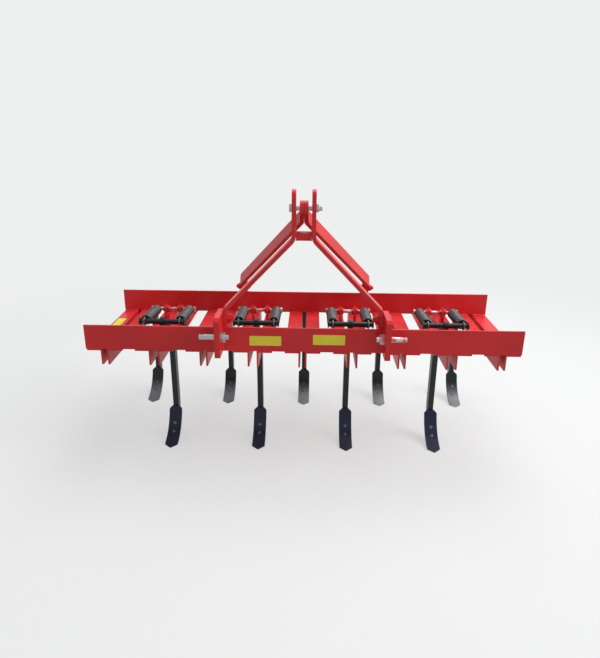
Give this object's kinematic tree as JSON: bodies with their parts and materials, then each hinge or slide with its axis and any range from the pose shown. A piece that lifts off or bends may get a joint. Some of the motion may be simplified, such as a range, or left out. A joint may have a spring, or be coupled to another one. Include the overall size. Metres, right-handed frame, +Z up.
{
  "type": "spring tine cultivator",
  "caption": "Tractor-mounted cultivator: rigid tines held down by extension springs on a two-beam frame with a three-point hitch mast.",
  "frame": {"origin": "middle of the ground rectangle under the machine, at the level of the shovel tips", "axes": "+X across the machine, -Y towards the tractor, +Z up"},
  "size_m": [1.8, 0.928, 1.166],
  "materials": {
    "frame_red": "gloss",
    "frame_dark": "satin",
    "tine_black": "satin",
    "shovel_steel": "gloss",
    "spring_steel": "satin",
    "zinc_steel": "satin",
    "dark_steel": "satin"
  },
  "bodies": {
    "frame": {"front_beam": "frame_red", "rear_beam": "frame_red", "front_row_holders": "frame_red", "rear_row_holders": "frame_red", "hitch_plate_left": "frame_red", "hitch_plate_right": "frame_red", "mast_bar_left": "frame_red", "mast_bar_right": "frame_red", "brace_left": "frame_red", "brace_right": "frame_red", "mast_spacer": "frame_dark", "brace_lugs": "frame_red", "spring_lugs": "frame_red", "hitch_pin_left": "zinc_steel", "hitch_pin_right": "zinc_steel", "mast_bolts": "zinc_steel", "brace_pin": "zinc_steel", "brace_bolts": "zinc_steel", "stop_bolts": "zinc_steel", "pivot_bolts": "dark_steel", "anchor_bolts": "zinc_steel", "spring_pair_1": "spring_steel", "spring_pair_2": "spring_steel", "spring_pair_3": "spring_steel", "spring_pair_4": "spring_steel", "spring_pair_5": "spring_steel", "spring_pair_6": "spring_steel", "spring_pair_7": "spring_steel", "spring_pair_8": "spring_steel", "spring_pair_9": "spring_steel"},
    "tine_unit_1": {"tine_1": "tine_black", "shovel_1": "shovel_steel"},
    "tine_unit_2": {"tine_2": "tine_black", "shovel_2": "shovel_steel"},
    "tine_unit_3": {"tine_3": "tine_black", "shovel_3": "shovel_steel"},
    "tine_unit_4": {"tine_4": "tine_black", "shovel_4": "shovel_steel"},
    "tine_unit_5": {"tine_5": "tine_black", "shovel_5": "shovel_steel"},
    "tine_unit_6": {"tine_6": "tine_black", "shovel_6": "shovel_steel"},
    "tine_unit_7": {"tine_7": "tine_black", "shovel_7": "shovel_steel"},
    "tine_unit_8": {"tine_8": "tine_black", "shovel_8": "shovel_steel"},
    "tine_unit_9": {"tine_9": "tine_black", "shovel_9": "shovel_steel"}
  },
  "joints": [
    {"name": "tine_1_trip", "type": "hinge", "parent": "frame", "child": "tine_unit_1", "pos_m": [-0.8, 0.348, 0.487], "axis": [1, 0, 0], "range_deg": [0, 10], "stiffness_Nm_per_rad": 1000, "springref_deg": -5.73, "deforming": ["spring_pair_1"]},
    {"name": "tine_2_trip", "type": "hinge", "parent": "frame", "child": "tine_unit_2", "pos_m": [-0.6, -0.099, 0.487], "axis": [1, 0, 0], "range_deg": [0, 10], "stiffness_Nm_per_rad": 1000, "springref_deg": -5.73, "deforming": ["spring_pair_2"]},
    {"name": "tine_3_trip", "type": "hinge", "parent": "frame", "child": "tine_unit_3", "pos_m": [-0.4, 0.348, 0.487], "axis": [1, 0, 0], "range_deg": [0, 10], "stiffness_Nm_per_rad": 1000, "springref_deg": -5.73, "deforming": ["spring_pair_3"]},
    {"name": "tine_4_trip", "type": "hinge", "parent": "frame", "child": "tine_unit_4", "pos_m": [-0.2, -0.099, 0.487], "axis": [1, 0, 0], "range_deg": [0, 10], "stiffness_Nm_per_rad": 1000, "springref_deg": -5.73, "deforming": ["spring_pair_4"]},
    {"name": "tine_5_trip", "type": "hinge", "parent": "frame", "child": "tine_unit_5", "pos_m": [0, 0.348, 0.487], "axis": [1, 0, 0], "range_deg": [0, 10], "stiffness_Nm_per_rad": 1000, "springref_deg": -5.73, "deforming": ["spring_pair_5"]},
    {"name": "tine_6_trip", "type": "hinge", "parent": "frame", "child": "tine_unit_6", "pos_m": [0.2, -0.099, 0.487], "axis": [1, 0, 0], "range_deg": [0, 10], "stiffness_Nm_per_rad": 1000, "springref_deg": -5.73, "deforming": ["spring_pair_6"]},
    {"name": "tine_7_trip", "type": "hinge", "parent": "frame", "child": "tine_unit_7", "pos_m": [0.4, 0.348, 0.487], "axis": [1, 0, 0], "range_deg": [0, 10], "stiffness_Nm_per_rad": 1000, "springref_deg": -5.73, "deforming": ["spring_pair_7"]},
    {"name": "tine_8_trip", "type": "hinge", "parent": "frame", "child": "tine_unit_8", "pos_m": [0.6, -0.099, 0.487], "axis": [1, 0, 0], "range_deg": [0, 10], "stiffness_Nm_per_rad": 1000, "springref_deg": -5.73, "deforming": ["spring_pair_8"]},
    {"name": "tine_9_trip", "type": "hinge", "parent": "frame", "child": "tine_unit_9", "pos_m": [0.8, 0.348, 0.487], "axis": [1, 0, 0], "range_deg": [0, 10], "stiffness_Nm_per_rad": 1000, "springref_deg": -5.73, "deforming": ["spring_pair_9"]}
  ]
}
